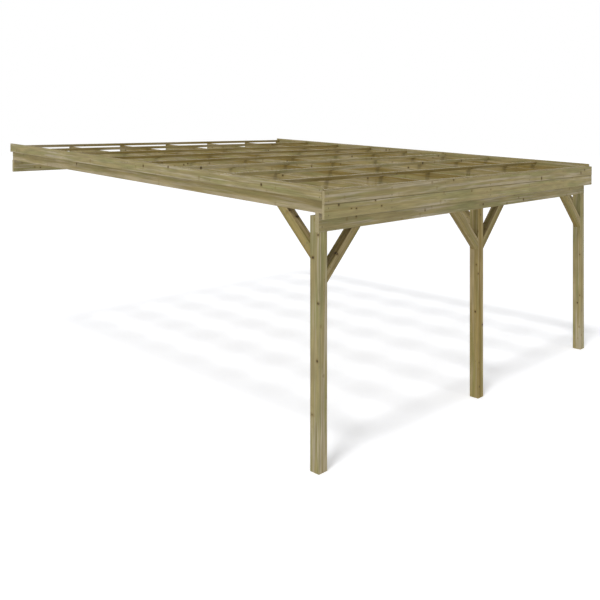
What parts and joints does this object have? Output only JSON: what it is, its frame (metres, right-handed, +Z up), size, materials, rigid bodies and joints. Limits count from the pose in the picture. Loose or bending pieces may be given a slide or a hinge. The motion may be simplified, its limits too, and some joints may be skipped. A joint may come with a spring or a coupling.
{
  "type": "lean-to timber carport frame",
  "caption": "Lean-to carport frame of planed timber: posts with knee braces, front beam, wall plate, sloping rafters, roof battens and fascia boards.",
  "frame": {"origin": "centre of the wall plate's back face, which lies against the wall", "axes": "+X along the wall, to the right seen from the front; +Y into the wall; +Z up; the ground is 2.479 m below the origin"},
  "size_m": [5.36, 6.271, 2.8034],
  "materials": {
    "post_timber": "pressure-treated planed pine, matt",
    "beam_timber": "pressure-treated planed pine, matt",
    "brace_timber": "pressure-treated planed pine, matt",
    "rafter_timber": "pressure-treated planed pine, matt",
    "batten_timber": "pressure-treated planed pine, matt",
    "fascia_timber": "pressure-treated planed pine, matt"
  },
  "bodies": {
    "root": {"post_left": "post_timber", "post_middle": "post_timber", "post_right": "post_timber", "front_beam": "beam_timber", "wall_plate": "beam_timber", "brace_left_side": "brace_timber", "brace_left_front": "brace_timber", "brace_middle_left": "brace_timber", "brace_middle_right": "brace_timber", "brace_middle_back": "brace_timber", "brace_right_front": "brace_timber", "brace_right_side": "brace_timber", "side_rafter_left": "rafter_timber", "rafter_1": "rafter_timber", "rafter_2": "rafter_timber", "rafter_3": "rafter_timber", "rafter_4": "rafter_timber", "rafter_5": "rafter_timber", "side_rafter_right": "rafter_timber", "batten_1": "batten_timber", "batten_2": "batten_timber", "batten_3": "batten_timber", "batten_4": "batten_timber", "batten_5": "batten_timber", "batten_6": "batten_timber", "batten_7": "batten_timber", "batten_8": "batten_timber", "batten_9": "batten_timber", "side_fascia_left": "fascia_timber", "side_fascia_right": "fascia_timber", "front_fascia_lower": "fascia_timber", "front_fascia_upper": "fascia_timber"}
  },
  "joints": []
}
